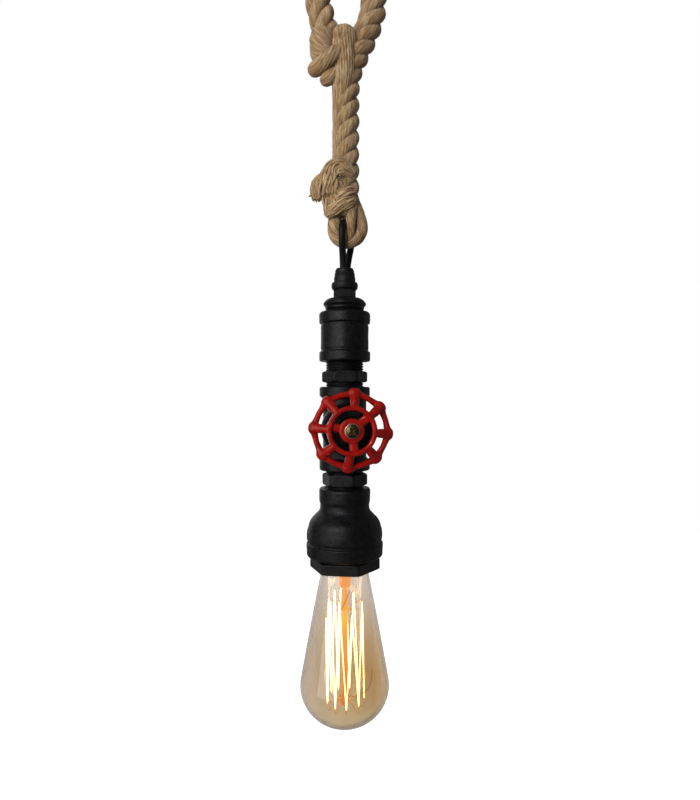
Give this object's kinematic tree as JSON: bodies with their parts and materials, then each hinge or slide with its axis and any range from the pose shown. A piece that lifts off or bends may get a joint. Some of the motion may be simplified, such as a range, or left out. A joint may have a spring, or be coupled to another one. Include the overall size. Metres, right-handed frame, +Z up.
{
  "type": "pendant lamp",
  "caption": "Pendant lamp of black pipe fittings with a red valve handwheel and a filament bulb, hung on a spliced rope from a hook in a round ceiling canopy.",
  "frame": {"origin": "middle of the ceiling fitting, on the ceiling plane", "axes": "+Z is up, into the ceiling; -Y is the front, where the handwheel faces; +X is to the right seen from the front"},
  "size_m": [0.1, 0.1, 0.6374],
  "materials": {
    "black_coated_sheet": "satin black powder coat on spun steel",
    "black_coated_steel": "satin black powder coat on turned steel",
    "black_coated_iron": "matte black powder coat on sand-cast iron",
    "zinc_plated_steel": "bright zinc plate",
    "black_rubber": "matte",
    "jute": "three-strand natural fibre, hairy",
    "cable_sheath": "matte black",
    "black_nylon": "moulded, fine grain",
    "black_bakelite": "moulded, satin",
    "brass_sheet": "rolled sheet",
    "turned_brass": "turned, slightly dulled",
    "brown_insulation": "extruded",
    "blue_insulation": "extruded",
    "red_enamel": "glossy red enamel on a casting",
    "amber_glass": "clear blown glass with an amber tint",
    "clear_glass": "drawn glass",
    "black_glass": "pressed, opaque",
    "bulb_cap_metal": "pressed and rolled, nickel-tinted",
    "solder": "dull solder",
    "lead_wire": "drawn wire",
    "glowing_filament": "drawn wire, lit"
  },
  "bodies": {
    "ceiling_fitting": {"canopy": "black_coated_sheet", "crossbar": "zinc_plated_steel", "ceiling_hook": "black_coated_steel", "hook_nuts": "zinc_plated_steel", "canopy_collar": "black_coated_steel", "cable_grommet": "black_rubber"},
    "hanging_rope": {"rope": "jute", "rope_upper_splice": "jute", "rope_upper_eye": "jute", "rope_lower_splice": "jute", "rope_lower_eye": "jute"},
    "lamp_body": {"cable_loop": "cable_sheath", "cord_grip_nut": "black_nylon", "cord_grip_seal": "black_rubber", "cord_grip_body": "black_nylon", "coupling_plug": "black_coated_steel", "upper_coupling": "black_coated_iron", "upper_hex_nipple": "black_coated_iron", "valve_body": "black_coated_iron", "bonnet_gasket": "black_rubber", "valve_bonnet": "black_coated_iron", "packing_ring": "black_rubber", "packing_nut": "black_coated_steel", "lower_hex_nipple": "black_coated_iron", "reducer": "black_coated_iron", "hex_bushing": "black_coated_iron", "lampholder_body": "black_bakelite", "lampholder_shell": "brass_sheet", "lampholder_contact": "brass_sheet", "terminal_screws": "turned_brass", "inner_cable": "cable_sheath", "live_wire": "brown_insulation", "neutral_wire": "blue_insulation"},
    "valve_wheel": {"valve_stem": "turned_brass", "handwheel": "red_enamel", "wheel_washer": "zinc_plated_steel", "wheel_screw": "turned_brass"},
    "light_bulb": {"bulb_glass": "amber_glass", "bulb_cap_shell": "bulb_cap_metal", "bulb_cap_insulator": "black_glass", "bulb_tip_contact": "solder", "bulb_stem": "clear_glass", "bulb_lead_wires": "lead_wire", "bulb_supports": "lead_wire", "bulb_filament": "glowing_filament"}
  },
  "joints": [
    {"name": "hook_swing", "type": "hinge", "parent": "ceiling_fitting", "child": "hanging_rope", "pos_m": [0, 0, -0.094], "axis": [0, 1, 0], "range_deg": [-30, 30]},
    {"name": "eye_swing", "type": "hinge", "parent": "hanging_rope", "child": "lamp_body", "pos_m": [0, 0, -0.2823], "axis": [1, 0, 0], "range_deg": [-25, 25]},
    {"name": "valve_turn", "type": "hinge", "parent": "lamp_body", "child": "valve_wheel", "pos_m": [0, 0.004, -0.4204], "axis": [0, -1, 0], "continuous": true},
    {"name": "bulb_withdraw", "type": "slide", "parent": "lamp_body", "child": "light_bulb", "axis": [0, 0, -1], "range_m": [0, 0.035]}
  ]
}
